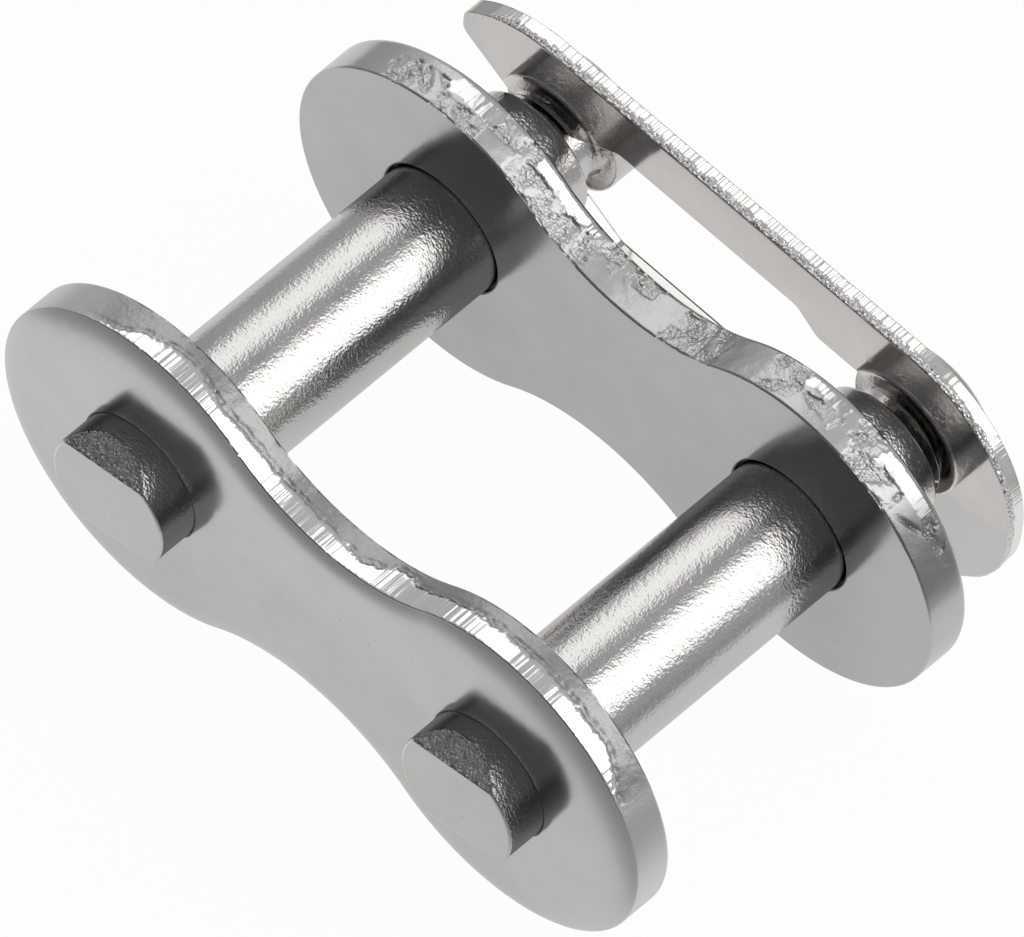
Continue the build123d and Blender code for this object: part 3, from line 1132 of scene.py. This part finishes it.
class LINK_OT_pins(bpy.types.Operator):
    """Models a pin with its flatted, cropped end, and copies it"""

    bl_idname = "link.pins"
    bl_label = "Pins"

    def execute(self, context):
        pin = context.scene.link_pin
        front = PIN_FRONT + pin.rim_fall
        tail = PIN_PLATE_LOW.y - front
        rows = round(tail / pin.step)
        piece = draw_flatted_outline("left_pin_turned", LEFT_X, front, pin)
        for row in range(rows):
            bpy.ops.mesh.extrude_region_move(TRANSFORM_OT_translate={"value": (0, tail / rows, 0)})
        inside = PIN_PLATE_HIGH.y - pin.step - PIN_PLATE_LOW.y
        bpy.ops.mesh.extrude_region_move(TRANSFORM_OT_translate={"value": (0, inside, 0)})
        select_edges(piece, lambda edge: edge.is_boundary and edge.verts[0].co.y < front + 0.002)
        bpy.ops.mesh.edge_face_add()
        bpy.ops.object.mode_set(mode="OBJECT")
        join_pieces(piece, [spin_pin_body(LEFT_X, pin)])
        bpy.ops.object.mode_set(mode="EDIT")
        select_edges(piece, lambda edge: edge.is_boundary)
        bpy.ops.mesh.bridge_edge_loops()
        # The bar was cropped to length: opposite the flat its end broke off at a slope
        away = Matrix.Rotation(pin.flat_turn, 2) @ Vector((0, 1))
        crest = Vector((LEFT_X + away.x * pin.crop_line, PIN_FRONT, away.y * pin.crop_line))
        fall = pin.crop_depth / (PIN_RADIUS - pin.crop_line)
        crop_normal = Vector((away.x * fall, -1, away.y * fall)).normalized()
        bpy.ops.mesh.select_all(action="SELECT")
        bpy.ops.mesh.bisect(plane_co=crest, plane_no=crop_normal, use_fill=True, clear_outer=True)
        bpy.ops.mesh.select_all(action="SELECT")
        bpy.ops.mesh.normals_make_consistent(inside=False)

        def is_crop(face):
            return face.normal.dot(crop_normal) > 0.999 and abs((face.calc_center_median() - crest).dot(crop_normal)) < 0.01

        def is_end(face):
            return face.normal.y < -0.999 and face.calc_center_median().y < front + 0.002

        def is_rim(edge):
            capped = [is_crop(face) or is_end(face) for face in edge.link_faces]
            return any(capped) and not all(capped)

        select_edges(piece, is_rim)
        bpy.ops.mesh.bevel(offset=pin.rim, segments=3, affect="EDGES", clamp_overlap=False)
        select_faces(piece, is_end)
        bpy.ops.mesh.inset(thickness=pin.rim_width, depth=pin.rim_fall)
        bpy.ops.mesh.inset(thickness=pin.rim_width / 2)
        across = Vector((away.y, 0, -away.x))
        down = crop_normal.cross(across)
        count = round(PIN_RADIUS / pin.step)
        for direction in (across, down):
            for row in range(-count, count + 1):
                select_faces(piece, is_crop)
                bpy.ops.mesh.bisect(plane_co=crest + direction * row * pin.step, plane_no=direction)
        bpy.ops.object.mode_set(mode="OBJECT")

        def cropped(place):
            off = abs((place - crest).dot(crop_normal))
            return 1.0 if off < 0.002 else 0.0

        def painted_rim_glint_and_burnish(place):
            """The end's rim, with a painted highlight where it stands furthest from the crop and to the lower
            left.
            """
            spoke = Vector((place.x - LEFT_X, place.z))
            inside = -pin.flat_distance - spoke.dot(away)
            off = min(abs(spoke.length - PIN_RADIUS), abs(inside)) - pin.rim - pin.rim_width
            # Painted highlight: the rim is lightened most towards the lower left
            lit = smoothstep(0.0, 0.5, -spoke.normalized().dot(Vector((0.6, 0.8))))
            return lit if place.y < front + 0.002 and off < 0.004 else 0.0

        def flat_end(place):
            return 1.0 if place.y < front + 0.002 else 0.0

        # On the pins the burnish share holds the rim's painted highlight
        weigh(piece, torn=cropped, relief=cropped, burnish=painted_rim_glint_and_burnish, ground=flat_end)
        bpy.ops.object.select_all(action="DESELECT")
        piece.select_set(True)
        bpy.ops.object.duplicate()
        other = context.object
        other.name = "right_pin_turned"
        bpy.ops.transform.translate(value=(RIGHT_X - LEFT_X, 0, 0))
        bpy.ops.object.transform_apply(location=True)
        for made, node in ((piece, "left_pin"), (other, "right_pin")):
            roughen(made, "torn", 0.24, 0.1)
            roughen(made, "torn", 0.1, 0.1, noise_type="HARD_NOISE")
            finish_piece(made, node, "pin_link")
            made.data.materials.append(pin_steel(context.scene.link_finish.pin_steel))
        return {"FINISHED"}


# --- Spring clip ----------------------------------------------------------------------------


def draw_clip_outline(clip, level):
    """Draws the upper half of the clip's outline, from its outer right end to the closed eye."""
    radius = (CLIP_HIGH.z - CLIP_LOW.z) / 2
    bulge = clip.end_bulge
    pen = Pen("spring_clip_blank", level, (RIGHT_X + radius, 0), clip.step)
    end_turn = math.pi / 2 + 2 * math.atan2(bulge, radius - bulge)
    pen.arc((RIGHT_X + bulge, bulge), -end_turn)
    pen.line_to((LEFT_X, radius))

    # The leg's end: rounded into the clip's back and into the slope of its lip
    corner = clip.tip_corner
    tip_x = LEFT_X - clip.tip_reach
    corner_x = tip_x + corner
    back_z = math.sqrt((radius - corner) ** 2 - (corner_x - LEFT_X) ** 2)
    back_turn = math.atan2(LEFT_X - corner_x, back_z)
    pen.arc((LEFT_X, 0), -back_turn)
    pen.arc((corner_x, back_z), back_turn - math.pi / 2)
    tip_low = Vector((tip_x, math.sqrt(radius**2 - clip.tip_reach**2) - clip.tip_height))
    lip_angle = math.asin(clip.lip_half / clip.open_eye)
    lip = Vector((LEFT_X - clip.open_eye * math.cos(lip_angle), clip.lip_half))
    slope = (lip - tip_low).normalized()
    above = Vector((-slope.y, slope.x))
    low_turn = math.pi / 2 + math.atan2(slope.y, slope.x)
    drop = math.tan(math.pi / 2 - low_turn)
    front_z = tip_low.y - corner * drop + corner / above.y
    pen.line_to((tip_x, front_z))
    pen.arc((corner_x, front_z), -low_turn)

    # The lip, and the open eye behind it
    start = tip_low + above * clip.lip_corner - Vector((LEFT_X, 0))
    reach = clip.open_eye + clip.lip_corner
    along = -start.dot(slope) - math.sqrt(start.dot(slope) ** 2 - start.length_squared + reach**2)
    centre = start + slope * along
    lip_centre = Vector((LEFT_X, 0)) + centre
    pen.line_to(lip_centre - above * clip.lip_corner)
    lip_turn = (-above).angle(-centre)
    pen.arc(lip_centre, -lip_turn)
    throat_turn = math.acos(clip.throat_half / clip.open_eye)
    pen.arc((LEFT_X, 0), throat_turn + math.atan2(-centre.x, centre.y))

    # The slot
    slot_left = (LEFT_X + clip.open_ramp_start, clip.slot_half)
    slot_right = (RIGHT_X - clip.closed_ramp_start, clip.slot_half)
    eye_entry = (RIGHT_X - clip.closed_ramp_end, clip.closed_eye)
    closed_eye = (RIGHT_X, clip.closed_eye)
    pen.round_corner(slot_left, slot_right, clip.slot_corner)
    pen.round_corner(slot_right, eye_entry, clip.slot_corner)
    pen.round_corner(eye_entry, closed_eye, clip.slot_corner)
    pen.line_to(closed_eye)
    pen.arc((RIGHT_X, 0), math.pi / 2)
    bpy.ops.mesh.select_all(action="SELECT")
    return pen.piece


class LINK_OT_clip(bpy.types.Operator):
    """Models the spring clip that snaps into the pins' grooves"""

    bl_idname = "link.clip"
    bl_label = "Spring clip"

    def execute(self, context):
        clip = context.scene.link_clip
        near, far = CLIP_LOW.y, CLIP_HIGH.y
        rows = round((far - near) / 0.05)
        piece = draw_clip_outline(clip, near)
        for _ in range(rows):
            bpy.ops.mesh.extrude_region_move(TRANSFORM_OT_translate={"value": (0, (far - near) / rows, 0)})
        bpy.ops.object.mode_set(mode="OBJECT")
        apply_modifier(piece, "MIRROR", use_axis=(False, False, True), merge_threshold=0.004)
        bpy.ops.object.mode_set(mode="EDIT")
        for level, rim in ((near, clip.near_edge), (far, clip.far_edge)):
            select_edges(piece, lambda edge: edge.is_boundary and abs(edge.verts[0].co.y - level) < 0.002)
            bpy.ops.mesh.edge_face_add()
            bpy.ops.mesh.bevel(offset=rim, segments=3, affect="EDGES", clamp_overlap=False)
        bpy.ops.mesh.select_all(action="SELECT")
        bpy.ops.mesh.normals_make_consistent(inside=False)
        for side in (-1, 1):
            select_faces(piece, lambda face: face.normal.y * side > 0.999)
            bpy.ops.mesh.inset(thickness=clip.near_edge)
        bpy.ops.object.mode_set(mode="OBJECT")

        def edge(rule):
            def masked(place):
                depth = place.y - near
                side = abs(place.z) if place.x < RIGHT_X else math.hypot(place.x - RIGHT_X, place.z)
                reach = smoothstep(0.0, 0.03, depth) * smoothstep(0.0, 0.03, far - near - depth)
                return rule(place.x + 0.7 * abs(place.z), depth) * reach if side > 3.6 else 0.0

            return masked

        def torn(length, depth):
            border = 0.2 + 0.1 * ripple(length, 0.4, 4) + 0.1 * ripple(length, 0.12, 6)
            return smoothstep(0.03, -0.03, depth - border) * smoothstep(0.0, 0.04, depth)

        def smooth(length, depth):
            return 1 - torn(length, depth)

        weigh(piece, torn=edge(torn), relief=edge(torn), burnish=edge(smooth))
        set_in(piece, "relief", 0.02)
        roughen(piece, "relief", 0.15, 0.07)
        roughen(piece, "relief", 0.09, 0.03)
        roughen(piece, "burnish", 0.3, 0.006, stretch=20)
        finish_piece(piece, "spring_clip", "clip")
        piece.data.materials.append(spring_steel(context.scene.link_finish.clip_steel))
        return {"FINISHED"}


def finish_piece(piece, node, body):
    """Shades a piece, sets it in place, attaches it to its body and hides the imported node it stands for."""
    bpy.ops.object.select_all(action="DESELECT")
    piece.select_set(True)
    bpy.context.view_layer.objects.active = piece
    bpy.ops.object.shade_smooth_by_angle(angle=math.radians(40))
    set_in_place(piece)
    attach(piece, body)
    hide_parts(node)


class LINK_PT_sidebar(bpy.types.Panel):
    """Lists the pieces of the link, one button for each"""

    bl_idname = "LINK_PT_sidebar"
    bl_label = "Chain link"
    bl_space_type = "VIEW_3D"
    bl_region_type = "UI"
    bl_category = "Chain link"

    def draw(self, context):
        for operator in OPERATORS:
            self.layout.operator(operator.bl_idname)


SETTINGS = {
    "link_studio": StudioSettings,
    "link_plate": PlateSettings,
    "link_pin": PinSettings,
    "link_clip": ClipSettings,
    "link_finish": FinishSettings,
}
OPERATORS = (LINK_OT_stage, LINK_OT_pin_plate, LINK_OT_cover_plate, LINK_OT_pins, LINK_OT_clip)


def register():
    for cls in (*SETTINGS.values(), *OPERATORS, LINK_PT_sidebar):
        bpy.utils.register_class(cls)
    for name, cls in SETTINGS.items():
        setattr(bpy.types.Scene, name, PointerProperty(type=cls))


def unregister():
    for name in SETTINGS:
        delattr(bpy.types.Scene, name)
    for cls in (LINK_PT_sidebar, *OPERATORS, *SETTINGS.values()):
        bpy.utils.unregister_class(cls)


def main():
    register()
    bpy.ops.link.stage()
    bpy.ops.link.pin_plate()
    bpy.ops.link.cover_plate()
    bpy.ops.link.pins()
    bpy.ops.link.clip()


if __name__ == "__main__":
    main()
